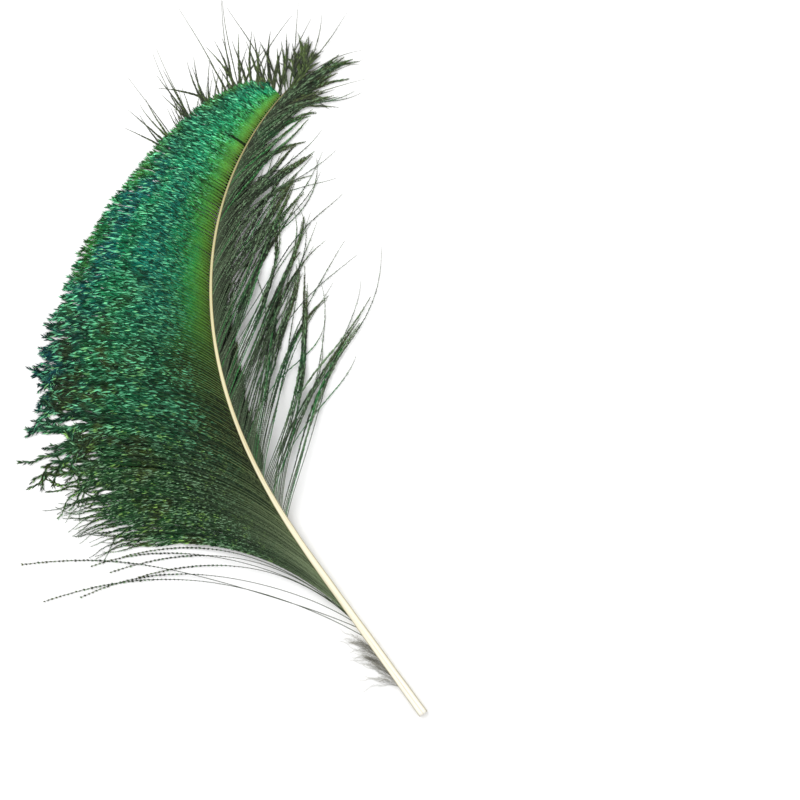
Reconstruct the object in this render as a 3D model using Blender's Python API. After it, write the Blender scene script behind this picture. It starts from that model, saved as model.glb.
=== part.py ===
"""Peacock sword feather, lying on its back side with the glossy side up.

The shaft curves sideways like a sabre. Close-set glossy barbs grow on the outer side of the
curve and long sparse barbs on the inner side; wiry barbs fan out round the end of the shaft.
+Y runs towards the tip, +Z is up, and z = 0 is the surface that the feather lies on.
Each group of barbs is one closed sheet that follows the barbs from root to tip.
"""

import math

import bmesh
import bpy
import numpy as np

# Shaft: length along its curve, heading at the cut end (degrees anticlockwise from +X), how far it
# turns towards the tip, where the turn begins (share of length), and how the turn gathers.
SHAFT_LENGTH = 0.333
BASE_HEADING = 125.5
TURN = 84.5
TURN_START = 0.24
TURN_POWER = 1.5

# Shaft width as (share of length, metres); its height is a share of its width.
SHAFT_WIDTH = [(0.0, 0.0044), (0.24, 0.0032), (0.42, 0.0021), (0.62, 0.0015), (0.78, 0.0011),
               (0.88, 0.0008), (1.0, 0.0004)]
SHAFT_HEIGHT_SHARE = 0.85
SHAFT_BOW = 0.0070
TIP_LIFT = 0.0010
SHAFT_STATIONS = 64
SHAFT_SIDES = 12
SHAFT_SQUARENESS = 2.6

# Barbs: sheet thickness, the gap to the shaft, and the share of a barb that lies flat at its end.
VANE_THICKNESS = 0.0016
TUFT_THICKNESS = 0.0012
DOWN_THICKNESS = 0.0010
ROOT_GAP = 0.0004
FLAT_SHARE = 0.24
FINE_STEPS = 400

# Broad vane, on the outer side: where it grows, barb length, barb heading at root and tip, and how
# high a barb of the crown length arches. The other sheets repeat these kinds of value.
BROAD_SPAN = (0.18, 0.93)
BROAD_LENGTH = [(0.18, 0.078), (0.24, 0.104), (0.30, 0.114), (0.40, 0.107), (0.50, 0.090),
                (0.60, 0.070), (0.70, 0.050), (0.80, 0.036), (0.90, 0.025), (0.93, 0.022)]
BROAD_ROOT_HEADING = [(0.18, 136.0), (0.50, 140.0), (0.90, 143.0), (0.93, 138.0)]
BROAD_TIP_HEADING = [(0.18, 200.0), (0.35, 198.0), (0.46, 187.0), (0.60, 180.0), (0.80, 163.0),
                     (0.93, 150.0)]
BROAD_ROWS = 81
BROAD_COLUMNS = 12
BROAD_CROWN = 0.0050
BROAD_CROWN_LENGTH = 0.114
BROAD_LOCK_ROWS = 8
BROAD_LOCK_DEPTH = 0.07

# Loose vane, on the inner side: barb length, angle to the shaft, and how far a barb turns.
LOOSE_SPAN = (0.33, 0.93)
LOOSE_LENGTH = [(0.33, 0.102), (0.45, 0.088), (0.60, 0.085), (0.70, 0.064), (0.80, 0.050),
                (0.93, 0.048)]
LOOSE_SPREAD = [(0.33, 37.0), (0.40, 31.0), (0.45, 30.0), (0.60, 26.0), (0.75, 18.0), (0.93, 15.0)]
LOOSE_TURN = [(0.33, -46.0), (0.40, -31.0), (0.45, -26.0), (0.60, -19.0), (0.75, -28.0), (0.93, -20.0)]
LOOSE_ROWS = 57
LOOSE_COLUMNS = 9
LOOSE_CROWN = 0.0020
LOOSE_LOCK_ROWS = 7
LOOSE_LOCK_DEPTH = 0.30

# Tip tuft: a fan from the outer side, round the end of the shaft, to the inner side.
TUFT_START = 0.945
TUFT_HEADING = [(0.0, 132.0), (0.25, 108.0), (0.45, 78.0), (0.55, 58.0), (0.80, 34.0), (1.0, 30.0)]
TUFT_LENGTH = [(0.0, 0.026), (0.25, 0.042), (0.50, 0.041), (0.80, 0.046), (1.0, 0.056)]
TUFT_TURN = -8.0
TUFT_ROWS = 26
TUFT_COLUMNS = 6
TUFT_LOCK_ROWS = 5
TUFT_LOCK_DEPTH = 0.16

# Base down: short soft barbs low on the outer side of the quill.
DOWN_SPAN = (0.05, 0.12)
DOWN_LENGTH = 0.014
DOWN_SPREAD = 24.0
DOWN_TURN = 22.0
DOWN_ROWS = 9
DOWN_COLUMNS = 4
DOWN_LOCK_DEPTH = 0.6

# Colour, roughness and metallic value of each piece.
FINISHES = {
    "shaft": ((0.86, 0.80, 0.60), 0.45, 0.0),
    "broad_vane": ((0.02, 0.22, 0.13), 0.40, 0.5),
    "loose_vane": ((0.04, 0.08, 0.045), 0.50, 0.2),
    "tip_tuft": ((0.06, 0.09, 0.03), 0.55, 0.1),
    "base_down": ((0.35, 0.32, 0.26), 0.80, 0.0),
}


def from_keys(keys, value):
    """Straight-line reading of a list of (position, amount)."""
    return float(np.interp(value, [key[0] for key in keys], [key[1] for key in keys]))


def shaft_heading(share):
    """Heading of the shaft, in degrees, at a share of its length."""
    bent = max(0.0, share - TURN_START) / (1.0 - TURN_START)
    return BASE_HEADING - TURN * bent ** TURN_POWER


def trace_shaft():
    """Points of the shaft's centre line from above, the cut end at the origin."""
    points = [(0.0, 0.0)]
    step = SHAFT_LENGTH / FINE_STEPS
    for number in range(FINE_STEPS):
        heading = math.radians(shaft_heading((number + 0.5) / FINE_STEPS))
        x, y = points[-1]
        points.append((x + step * math.cos(heading), y + step * math.sin(heading)))
    return np.array(points)


SHAFT_LINE = trace_shaft()


def shaft_point(share):
    """Place on the shaft's centre line, from above."""
    place = share * FINE_STEPS
    steps = np.arange(FINE_STEPS + 1)
    return np.array([np.interp(place, steps, SHAFT_LINE[:, 0]), np.interp(place, steps, SHAFT_LINE[:, 1])])


def shaft_centre_height(share):
    """Height of the centre line: the quill lies on the surface, the middle bows up off it."""
    half_height = 0.5 * from_keys(SHAFT_WIDTH, share) * SHAFT_HEIGHT_SHARE
    return half_height + SHAFT_BOW * math.sin(math.pi * share) + TIP_LIFT * share


def sideways(share, side):
    """Unit vector square to the shaft: side +1 is the outer side of the curve, -1 the inner."""
    angle = math.radians(shaft_heading(share) + 90.0 * side)
    return np.array([math.cos(angle), math.sin(angle)])


def barb_root(share, side):
    """Where a barb's sheet begins, just clear of the shaft's side."""
    reach = 0.5 * from_keys(SHAFT_WIDTH, share) + ROOT_GAP
    return shaft_point(share) + reach * sideways(share, side)


def barb_points(root, root_heading, turn, length, columns):
    """Evenly spaced points of one barb, whose heading turns steadily from root to tip."""
    fine = 4 * (columns - 1)
    points = [np.array(root)]
    for number in range(fine):
        heading = math.radians(root_heading + turn * (number + 0.5) / fine)
        points.append(points[-1] + length / fine * np.array([math.cos(heading), math.sin(heading)]))
    return points[::4]


def lock_factor(row, rows_in_lock, depth):
    """Barbs cling together in locks: the middle barb of a lock reaches furthest."""
    place = 2.0 * (row % rows_in_lock) / (rows_in_lock - 1.0) - 1.0
    return 1.0 - depth * place * place


def sheet_heights(root_height, crown, thickness, columns):
    """Underside heights along one barb: it arches up from the shaft and then lies flat."""
    heights = []
    for column in range(columns):
        along = min(1.0, column / (columns - 1.0) / (1.0 - FLAT_SHARE))
        fall = (root_height - 0.5 * thickness) * (1.0 - along) ** 1.3
        heights.append(max(0.0, fall + crown * math.sin(math.pi * along) * (1.0 - 0.5 * along)))
    return heights


def material(name):
    """The piece's own plain finish."""
    colour, roughness, metallic = FINISHES[name]
    made = bpy.data.materials.new(name)
    made.use_nodes = True
    shader = made.node_tree.nodes["Principled BSDF"]
    shader.inputs["Base Color"].default_value = (*colour, 1.0)
    shader.inputs["Roughness"].default_value = roughness
    shader.inputs["Metallic"].default_value = metallic
    return made


def add_piece(name, mesh_work, parent):
    """Finish a closed mesh as one named object under the feather's origin."""
    bmesh.ops.recalc_face_normals(mesh_work, faces=mesh_work.faces[:])
    mesh = bpy.data.meshes.new(name)
    mesh_work.to_mesh(mesh)
    mesh_work.free()
    mesh.materials.append(material(name))
    mesh.shade_smooth()
    mesh.set_sharp_from_angle(angle=math.radians(40.0))
    piece = bpy.data.objects.new(name, mesh)
    bpy.context.collection.objects.link(piece)
    piece.parent = parent
    return piece


def make_shaft(parent):
    """Quill and shaft in one: a rounded, slightly square section that tapers to the tip."""
    work = bmesh.new()
    rings = []
    for station in range(SHAFT_STATIONS + 1):
        share = station / SHAFT_STATIONS
        half_width = 0.5 * from_keys(SHAFT_WIDTH, share)
        half_height = half_width * SHAFT_HEIGHT_SHARE
        centre = shaft_point(share)
        side = sideways(share, 1)
        lift = shaft_centre_height(share)
        ring = []
        for corner in range(SHAFT_SIDES):
            angle = 2.0 * math.pi * (corner + 0.5) / SHAFT_SIDES
            across = math.copysign(abs(math.cos(angle)) ** (2.0 / SHAFT_SQUARENESS), math.cos(angle))
            up = math.copysign(abs(math.sin(angle)) ** (2.0 / SHAFT_SQUARENESS), math.sin(angle))
            spot = centre + half_width * across * side
            ring.append(work.verts.new((spot[0], spot[1], lift + half_height * up)))
        rings.append(ring)
    for lower, upper in zip(rings, rings[1:]):
        for corner in range(SHAFT_SIDES):
            following = (corner + 1) % SHAFT_SIDES
            work.faces.new((lower[corner], lower[following], upper[following], upper[corner]))
    work.faces.new(rings[0])
    work.faces.new(rings[-1])
    return add_piece("shaft", work, parent)


def make_sheet(name, rows, undersides, thickness, parent):
    """A closed sheet from rows of points: one row is one barb, from its root to its tip."""
    work = bmesh.new()
    low = []
    high = []
    for row, heights in zip(rows, undersides):
        low.append([work.verts.new((spot[0], spot[1], height)) for spot, height in zip(row, heights)])
        high.append([work.verts.new((spot[0], spot[1], height + thickness))
                     for spot, height in zip(row, heights)])
    row_count = len(rows)
    column_count = len(rows[0])
    for layer in (low, high):
        for i in range(row_count - 1):
            for j in range(column_count - 1):
                work.faces.new((layer[i][j], layer[i + 1][j], layer[i + 1][j + 1], layer[i][j + 1]))
    rim = [(i, 0) for i in range(row_count)]
    rim += [(row_count - 1, j) for j in range(1, column_count)]
    rim += [(i, column_count - 1) for i in range(row_count - 2, -1, -1)]
    rim += [(0, j) for j in range(column_count - 2, 0, -1)]
    for (i, j), (k, m) in zip(rim, rim[1:] + rim[:1]):
        work.faces.new((low[i][j], low[k][m], high[k][m], high[i][j]))
    return add_piece(name, work, parent)


def make_broad_vane(parent):
    """The glossy close-set barbs on the outer side of the curve."""
    rows = []
    undersides = []
    for number in range(BROAD_ROWS):
        share = BROAD_SPAN[0] + (BROAD_SPAN[1] - BROAD_SPAN[0]) * number / (BROAD_ROWS - 1)
        length = from_keys(BROAD_LENGTH, share) * lock_factor(number, BROAD_LOCK_ROWS, BROAD_LOCK_DEPTH)
        heading = from_keys(BROAD_ROOT_HEADING, share)
        turn = from_keys(BROAD_TIP_HEADING, share) - heading
        rows.append(barb_points(barb_root(share, 1), heading, turn, length, BROAD_COLUMNS))
        crown = BROAD_CROWN * length / BROAD_CROWN_LENGTH
        undersides.append(sheet_heights(shaft_centre_height(share), crown, VANE_THICKNESS, BROAD_COLUMNS))
    return make_sheet("broad_vane", rows, undersides, VANE_THICKNESS, parent)


def make_loose_vane(parent):
    """The long sparse barbs on the inner side of the curve, drawn together in pointed locks."""
    rows = []
    undersides = []
    for number in range(LOOSE_ROWS):
        share = LOOSE_SPAN[0] + (LOOSE_SPAN[1] - LOOSE_SPAN[0]) * number / (LOOSE_ROWS - 1)
        length = from_keys(LOOSE_LENGTH, share) * lock_factor(number, LOOSE_LOCK_ROWS, LOOSE_LOCK_DEPTH)
        heading = shaft_heading(share) - from_keys(LOOSE_SPREAD, share)
        turn = from_keys(LOOSE_TURN, share)
        rows.append(barb_points(barb_root(share, -1), heading, turn, length, LOOSE_COLUMNS))
        undersides.append(sheet_heights(shaft_centre_height(share), LOOSE_CROWN, VANE_THICKNESS, LOOSE_COLUMNS))
    return make_sheet("loose_vane", rows, undersides, VANE_THICKNESS, parent)


def tuft_root(place):
    """Root of a tuft barb: up the outer side, round the end of the shaft, down the inner side."""
    corner_share = 0.45
    if place < corner_share:
        return barb_root(TUFT_START + (1.0 - TUFT_START) * place / corner_share, 1)
    if place > 1.0 - corner_share:
        return barb_root(TUFT_START + (1.0 - TUFT_START) * (1.0 - place) / corner_share, -1)
    swing = math.radians(shaft_heading(1.0) + 90.0 * (0.5 - place) / (0.5 - corner_share))
    reach = 0.5 * SHAFT_WIDTH[-1][1] + ROOT_GAP
    return shaft_point(1.0) + reach * np.array([math.cos(swing), math.sin(swing)])


def make_tip_tuft(parent):
    """The wiry barbs round the end of the shaft."""
    rows = []
    undersides = []
    for number in range(TUFT_ROWS):
        place = number / (TUFT_ROWS - 1)
        length = from_keys(TUFT_LENGTH, place) * lock_factor(number, TUFT_LOCK_ROWS, TUFT_LOCK_DEPTH)
        heading = from_keys(TUFT_HEADING, place)
        rows.append(barb_points(tuft_root(place), heading, TUFT_TURN, length, TUFT_COLUMNS))
        undersides.append(sheet_heights(shaft_centre_height(TUFT_START), 0.0, TUFT_THICKNESS, TUFT_COLUMNS))
    return make_sheet("tip_tuft", rows, undersides, TUFT_THICKNESS, parent)


def make_base_down(parent):
    """The few soft barbs low on the quill."""
    rows = []
    undersides = []
    for number in range(DOWN_ROWS):
        share = DOWN_SPAN[0] + (DOWN_SPAN[1] - DOWN_SPAN[0]) * number / (DOWN_ROWS - 1)
        heading = shaft_heading(share) + DOWN_SPREAD
        length = DOWN_LENGTH * lock_factor(number, DOWN_ROWS, DOWN_LOCK_DEPTH)
        rows.append(barb_points(barb_root(share, 1), heading, DOWN_TURN, length, DOWN_COLUMNS))
        undersides.append(sheet_heights(shaft_centre_height(share), 0.0, DOWN_THICKNESS, DOWN_COLUMNS))
    return make_sheet("base_down", rows, undersides, DOWN_THICKNESS, parent)


for old in list(bpy.data.objects):
    bpy.data.objects.remove(old, do_unlink=True)

feather_origin = bpy.data.objects.new("feather_origin", None)
bpy.context.collection.objects.link(feather_origin)
pieces = [
    make_shaft(feather_origin),
    make_broad_vane(feather_origin),
    make_loose_vane(feather_origin),
    make_tip_tuft(feather_origin),
    make_base_down(feather_origin),
]

# The origin is the middle of the whole feather's outline, at the surface that it lies on.
corners = np.array([vertex.co for piece in pieces for vertex in piece.data.vertices])
middle = 0.5 * (corners.min(axis=0) + corners.max(axis=0))
feather_origin.location = (-middle[0], -middle[1], -corners[:, 2].min())
bpy.context.view_layer.update()
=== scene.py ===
import math

import bmesh
import bpy
import numpy as np
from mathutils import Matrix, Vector


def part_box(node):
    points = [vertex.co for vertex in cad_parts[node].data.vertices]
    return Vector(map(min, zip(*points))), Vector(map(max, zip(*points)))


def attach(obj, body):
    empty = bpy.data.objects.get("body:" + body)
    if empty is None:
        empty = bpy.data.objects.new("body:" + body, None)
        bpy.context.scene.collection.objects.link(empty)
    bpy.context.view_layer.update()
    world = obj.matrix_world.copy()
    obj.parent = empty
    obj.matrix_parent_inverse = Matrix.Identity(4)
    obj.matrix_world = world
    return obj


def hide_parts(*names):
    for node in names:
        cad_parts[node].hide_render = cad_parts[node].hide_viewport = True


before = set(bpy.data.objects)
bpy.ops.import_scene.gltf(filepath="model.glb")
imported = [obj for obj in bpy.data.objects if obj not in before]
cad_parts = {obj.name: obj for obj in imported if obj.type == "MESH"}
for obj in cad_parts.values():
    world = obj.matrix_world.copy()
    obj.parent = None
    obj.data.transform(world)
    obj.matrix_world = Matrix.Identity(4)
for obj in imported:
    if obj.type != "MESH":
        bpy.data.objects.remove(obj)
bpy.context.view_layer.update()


# ---- Shaft ----
# The quill and shaft are one piece of keratin, ivory and as smooth as horn, with white pith inside.
# The quill was cut straight through; upward the shaft thins to a hair, turns straw and then olive.

SHAFT_LENGTH = 0.333
SHAFT_WIDTH = [(0.0, 0.0044), (0.24, 0.0032), (0.42, 0.0021), (0.62, 0.0015), (0.78, 0.0011),
               (0.88, 0.0008), (1.0, 0.0004)]
SHAFT_HEIGHT_SHARE = 0.85
SHAFT_BOW = 0.0070
TIP_LIFT = 0.0010
BASE_HEADING = 125.5
TURN = 84.5
TURN_START = 0.24
TURN_POWER = 1.5
SHAFT_STATIONS = 240
SHAFT_SIDES = 24
SQUARENESS = 2.6
GROOVE_DEPTH = 0.18
PITH_SHARE = 0.74
PITH_DEPTH = 0.0004


def from_keys(keys, value):
    """Straight-line reading of a list of (position, amount), for one value or many."""
    return np.interp(value, [key[0] for key in keys], [key[1] for key in keys])


def shaft_heading(share):
    """Heading of the shaft in degrees, anticlockwise from +X, at a share of its length."""
    bent = np.clip(share - TURN_START, 0.0, None) / (1.0 - TURN_START)
    return BASE_HEADING - TURN * bent ** TURN_POWER


def trace_shaft(steps=800):
    """The shaft's centre line from above, placed where the frame's own shaft lies."""
    headings = np.radians(shaft_heading((np.arange(steps) + 0.5) / steps))
    hops = SHAFT_LENGTH / steps * np.stack([np.cos(headings), np.sin(headings)], 1)
    line = np.vstack([[0.0, 0.0], np.cumsum(hops, axis=0)])
    shares = np.linspace(0.0, 1.0, steps + 1)
    across = np.radians(shaft_heading(shares) + 90.0)
    reach = 0.5 * from_keys(SHAFT_WIDTH, shares)[:, None] * np.stack([np.cos(across), np.sin(across)], 1)
    low_corner = np.minimum(line - reach, line + reach).min(axis=0)
    return shares, line + np.array(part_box("shaft")[0][:2]) - low_corner


SHAFT_SHARES, SHAFT_LINE = trace_shaft()


def shaft_point(share):
    """Place on the centre line, from above."""
    return np.array([np.interp(share, SHAFT_SHARES, SHAFT_LINE[:, axis]) for axis in (0, 1)])


def shaft_centre_height(share):
    """Height of the centre line: the shaft rests on its thick end and bows up in the middle."""
    half_height = 0.5 * from_keys(SHAFT_WIDTH, share) * SHAFT_HEIGHT_SHARE
    return half_height + SHAFT_BOW * np.sin(math.pi * share) + TIP_LIFT * share


def sideways(share, side):
    """Unit vector square to the shaft: side +1 is the outer side of the curve, -1 the inner."""
    angle = math.radians(float(shaft_heading(share)) + 90.0 * side)
    return np.array([math.cos(angle), math.sin(angle)])


def shaft_ring(share, shrink=1.0, push=0.0):
    """One section of the shaft: a rounded square with a groove along its underside."""
    half_width = 0.5 * float(from_keys(SHAFT_WIDTH, share)) * shrink
    half_height = half_width * SHAFT_HEIGHT_SHARE
    wobble = 1.0 + 0.02 * math.sin(61.0 * share) + 0.015 * math.sin(143.0 * share + 1.0)
    forward = np.array([math.cos(math.radians(shaft_heading(share))),
                        math.sin(math.radians(shaft_heading(share)))])
    centre = shaft_point(share) + push * forward
    groove = GROOVE_DEPTH * min(1.0, share / 0.15)
    ring = []
    for corner in range(SHAFT_SIDES):
        angle = 2.0 * math.pi * corner / SHAFT_SIDES
        across = math.copysign(abs(math.cos(angle)) ** (2.0 / SQUARENESS), math.cos(angle))
        up = math.copysign(abs(math.sin(angle)) ** (2.0 / SQUARENESS), math.sin(angle))
        if up < 0.0:
            up += groove * math.exp(-(across / 0.35) ** 2)
        spot = centre + half_width * wobble * across * sideways(share, 1)
        height = float(shaft_centre_height(share)) + half_height * up
        ring.append((spot[0], spot[1], max(height, 0.0)))
    return ring


def add_shaft():
    """The whole shaft as one closed skin, with the pith sunk a little into the cut end."""
    work = bmesh.new()
    along = work.verts.layers.float.new("along")
    edge = work.verts.layers.float.new("edge")
    sections = [(0.0, PITH_SHARE, PITH_DEPTH), (0.0, PITH_SHARE, 0.0), (0.0, 1.0, 0.0)]
    sections += [(station / SHAFT_STATIONS, 1.0, 0.0) for station in range(1, SHAFT_STATIONS + 1)]
    rings = []
    for number, (share, shrink, push) in enumerate(sections):
        ring = []
        for corner, spot in enumerate(shaft_ring(share, shrink, push)):
            vertex = work.verts.new(spot)
            vertex[along] = share if number > 1 else -1.0
            vertex[edge] = abs(math.cos(2.0 * math.pi * corner / SHAFT_SIDES))
            ring.append(vertex)
        rings.append(ring)
    around = work.loops.layers.uv.new("OFBake")
    for number, (lower, upper) in enumerate(zip(rings, rings[1:])):
        for corner in range(SHAFT_SIDES):
            following = (corner + 1) % SHAFT_SIDES
            face = work.faces.new((lower[corner], lower[following], upper[following], upper[corner]))
            face.smooth = True
            columns = (corner, corner + 1, corner + 1, corner)
            rows = (number, number, number + 1, number + 1)
            for loop, column, row in zip(face.loops, columns, rows):
                loop[around].uv = (column / SHAFT_SIDES, (row + 2.0) / (len(rings) + 4.0))
    ends = ((rings[0], -1.0, 1.0), (rings[-1], 1.0, float(len(rings) + 2)))
    for ring, direction, row in ends:
        middle = work.verts.new(np.mean([vertex.co for vertex in ring], axis=0))
        middle[along] = -1.0 if direction < 0.0 else 1.0
        for corner in range(SHAFT_SIDES):
            following = (corner + 1) % SHAFT_SIDES
            face = work.faces.new((ring[corner], ring[following], middle))
            for loop, column in zip(face.loops, (corner, corner + 1, corner + 0.5)):
                loop[around].uv = (column / SHAFT_SIDES, row / (len(rings) + 4.0))
    bmesh.ops.recalc_face_normals(work, faces=work.faces[:])
    mesh = bpy.data.meshes.new("feather_shaft")
    work.to_mesh(mesh)
    work.free()
    piece = bpy.data.objects.new("feather_shaft", mesh)
    bpy.context.collection.objects.link(piece)
    return piece


def add_node(tree, kind, **settings):
    """Adds a node to a tree and sets the choices that are not sockets."""
    node = tree.nodes.new(kind)
    for name, value in settings.items():
        setattr(node, name, value)
    return node


def fill(node, **sockets):
    """Links or fills a node's inputs, named by position as s0, s1 and so on."""
    for name, value in sockets.items():
        socket = node.inputs[int(name[1:])]
        if isinstance(value, bpy.types.NodeSocket):
            node.id_data.links.new(value, socket)
        else:
            socket.default_value = value
    return node


def ramp(tree, driver, stops):
    """A colour ramp with (place, colour) stops, the colours as sRGB hex."""
    node = tree.nodes.new("ShaderNodeValToRGB")
    tree.links.new(driver, node.inputs[0])
    elements = node.color_ramp.elements
    while len(elements) < len(stops):
        elements.new(0.5)
    for element, (place, colour) in zip(elements, stops):
        element.position = place
        element.color = linear(colour)
    return node.outputs[0]


def linear(colour):
    """Linear RGBA from an sRGB hex string."""
    parts = [int(colour[place:place + 2], 16) / 255.0 for place in (0, 2, 4)]
    return (*[part / 12.92 if part <= 0.04045 else ((part + 0.055) / 1.055) ** 2.4 for part in parts], 1.0)


def attribute(tree, name):
    """One of the values that the mesh carries at each point."""
    node = add_node(tree, "ShaderNodeAttribute", attribute_name=name)
    return node.outputs["Fac"]


def mix(tree, factor, first, second):
    """The first colour at a factor of 0, the second at 1."""
    node = add_node(tree, "ShaderNodeMix", data_type="RGBA")
    fill(node, s0=factor, s6=first, s7=second)
    return node.outputs[2]


def times(tree, first, second):
    """Two values multiplied."""
    return fill(add_node(tree, "ShaderNodeMath", operation="MULTIPLY"), s0=first, s1=second).outputs[0]


def plus(tree, first, second):
    """Two values added."""
    return fill(add_node(tree, "ShaderNodeMath", operation="ADD"), s0=first, s1=second).outputs[0]


def span(tree, value, low, high, to_low=0.0, to_high=1.0):
    """Smoothly carries value from the range low..high to the range to_low..to_high."""
    node = add_node(tree, "ShaderNodeMapRange", interpolation_type="SMOOTHSTEP")
    fill(node, s0=value, s1=low, s2=high, s3=to_low, s4=to_high)
    return node.outputs[0]


def noise(tree, vector, scale, detail=3.0, roughness=0.55):
    """Soft noise about 0.5, finer with a larger scale."""
    node = add_node(tree, "ShaderNodeTexNoise")
    fill(node, s0=vector, s2=scale, s3=detail, s4=roughness)
    return node.outputs[0]


def new_finish(name):
    """An empty material, with its tree and its shader."""
    material = bpy.data.materials.new(name)
    material.use_nodes = True
    return material, material.node_tree, material.node_tree.nodes["Principled BSDF"]


def keratin():
    """Ivory horn: near white at the cut, straw and then olive towards the tip, olive along the sides."""
    material, tree, shader = new_finish("shaft_keratin")
    along = attribute(tree, "along")
    lengthwise = ramp(tree, along, [(0.0, "f8f5ea"), (0.10, "f4efdc"), (0.35, "e8e2c4"), (0.60, "d4cca0"),
                                    (0.76, "b2aa7a"), (0.88, "807848"), (1.0, "565632")])
    map_uv = add_node(tree, "ShaderNodeUVMap", uv_map="OFBake")
    stretch = fill(add_node(tree, "ShaderNodeMapping"), s0=map_uv.outputs[0], s3=(34.0, 3.5, 1.0))
    streaks = noise(tree, stretch.outputs[0], 1.0, 5.0, 0.6)
    sides = span(tree, attribute(tree, "edge"), 0.55, 1.0, 0.0, 0.85)
    streaked = mix(tree, span(tree, streaks, 0.50, 0.68, 0.0, 0.70), lengthwise, linear("b39a58"))
    edged = mix(tree, sides, streaked, linear("8d7f4a"))
    is_pith = span(tree, along, -0.6, -0.4, 1.0, 0.0)
    objects = add_node(tree, "ShaderNodeTexCoord").outputs["Object"]
    pith = ramp(tree, noise(tree, objects, 2600.0), [(0.3, "d9cdae"), (0.7, "fbf7ea")])
    tree.links.new(mix(tree, is_pith, edged, pith), shader.inputs["Base Color"])
    tree.links.new(span(tree, streaks, 0.2, 0.8, 0.26, 0.48), shader.inputs["Roughness"])
    shader.inputs["Subsurface Weight"].default_value = 0.05
    shader.inputs["Subsurface Radius"].default_value = (0.002, 0.0014, 0.0008)
    bump = add_node(tree, "ShaderNodeBump")
    fill(bump, s0=0.25, s1=0.0002, s3=streaks)
    tree.links.new(bump.outputs[0], shader.inputs["Normal"])
    return material


feather_shaft = add_shaft()
feather_shaft.data.materials.append(keratin())
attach(feather_shaft, "root")
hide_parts("shaft")


# ---- Broad vane ----
# Over two hundred barbs grow close-set on the outer side of the curve. Each is a thin rib with barbules
# down both sides, like a braided cord; the barbules carry the green gloss. At the lower rim the cords fray.

BROAD_SPAN = (0.175, 0.955)
BROAD_SPACING = [(0.175, 0.00084), (0.40, 0.00108), (0.55, 0.00142), (0.80, 0.00136), (0.90, 0.00100),
                 (1.0, 0.00080)]
BROAD_LENGTH = [(0.175, 0.121), (0.20, 0.128), (0.25, 0.127), (0.30, 0.121), (0.40, 0.109), (0.50, 0.093),
                (0.60, 0.074), (0.70, 0.056), (0.80, 0.040), (0.90, 0.025), (0.935, 0.017), (0.955, 0.008)]
BROAD_ROOT_HEADING = [(0.175, 136.0), (0.50, 140.0), (0.90, 143.0), (0.94, 136.0), (0.985, 112.0)]
BROAD_TIP_HEADING = [(0.175, 200.0), (0.35, 198.0), (0.46, 187.0), (0.60, 183.0), (0.80, 168.0),
                     (0.93, 150.0), (0.985, 118.0)]
BROAD_BEND_POWER = [(0.2, 1.1), (0.5, 0.62)]
BROAD_CROWN = 0.0050
BROAD_CROWN_LENGTH = 0.114
SHEET_THICKNESS = 0.0016
FLAT_SHARE = 0.24
BARB_POINTS = 42
LOWEST_POINT = 0.00002

# How frayed the rim is along the shaft. Each pair under it is an amount where the vane is sound, and
# what full fray adds to that.
FRAY = [(0.175, 0.45), (0.25, 0.45), (0.31, 1.0), (0.40, 1.0), (0.48, 0.50), (0.58, 0.15), (0.75, 0.05),
        (1.0, 0.05)]
GROWTH_SPREAD = (0.006, 0.05)
LOCK_FAN = (0.2, 2.5)
BARB_WANDER = (0.35, 0.30)
CURL = (6.0, 50.0)
FRIZZ = (1.5, 20.0)
LOCK_BARBS = 9
LOCK_GROWTH = 0.06
LOCK_BEND = 8.0
CLUMP_BARBS = 3

# Length of the barbules and how ruffled they are, from a barb's root to its end: low and high on the vane.
LOW_FLUFF = [(0.0, 0.26), (0.30, 0.36), (0.55, 0.66), (0.75, 0.90), (1.0, 0.60)]
HIGH_FLUFF = [(0.0, 0.90), (0.12, 0.94), (0.30, 1.06), (0.60, 1.14), (0.92, 1.18), (1.0, 0.60)]
LOW_RUFFLE = [(0.0, 0.0), (0.25, 0.25), (0.50, 0.60), (0.75, 1.0), (1.0, 1.8)]
HIGH_RUFFLE = [(0.0, 0.0), (0.12, 0.12), (0.35, 0.90), (0.60, 1.0), (0.90, 1.3), (1.0, 3.0)]
NARROWING = [(0.5, 1.0), (0.8, 0.85), (0.94, 0.75), (0.985, 0.45)]
BROAD_PIECES = ("broad_vane_lowest", "broad_vane_lower", "broad_vane_middle", "broad_vane_upper")


def drift(place, seed):
    """A smooth wandering between about -1 and 1, the same on each run."""
    waves = np.random.default_rng(seed)
    total = 0.0
    for frequency in (3.0, 7.0, 13.0):
        phase = waves.uniform(0.0, 2.0 * math.pi)
        total = total + math.sin(2.0 * math.pi * frequency * place + phase) / math.sqrt(frequency)
    return total


def ease(value, low, high):
    """Rises smoothly from 0 at low to 1 at high."""
    share = np.clip((value - low) / (high - low), 0.0, 1.0)
    return share * share * (3.0 - 2.0 * share)


def barb_root(share, side):
    """Where a barb leaves the shaft, just inside its side."""
    return shaft_point(share) + 0.40 * float(from_keys(SHAFT_WIDTH, share)) * sideways(share, side)


def lie_down(share, side, headings, length, crown):
    """Points of a barb from its heading at each step: it arches from the shaft down to the surface."""
    steps = len(headings)
    radians = np.radians(headings)
    hops = length / (steps - 1) * np.stack([np.cos(radians), np.sin(radians)], 1)
    flat = barb_root(share, side) + np.vstack([[0.0, 0.0], np.cumsum(0.5 * (hops[1:] + hops[:-1]), axis=0)])
    out = np.linspace(0.0, 1.0, steps)
    along = np.minimum(1.0, out / (1.0 - FLAT_SHARE))
    fall = (float(shaft_centre_height(share)) - 0.5 * SHEET_THICKNESS) * (1.0 - along) ** 1.3
    arch = crown * np.sin(math.pi * along) * (1.0 - 0.5 * along)
    return np.column_stack([flat, fall + arch + 0.5 * SHEET_THICKNESS])


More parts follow.
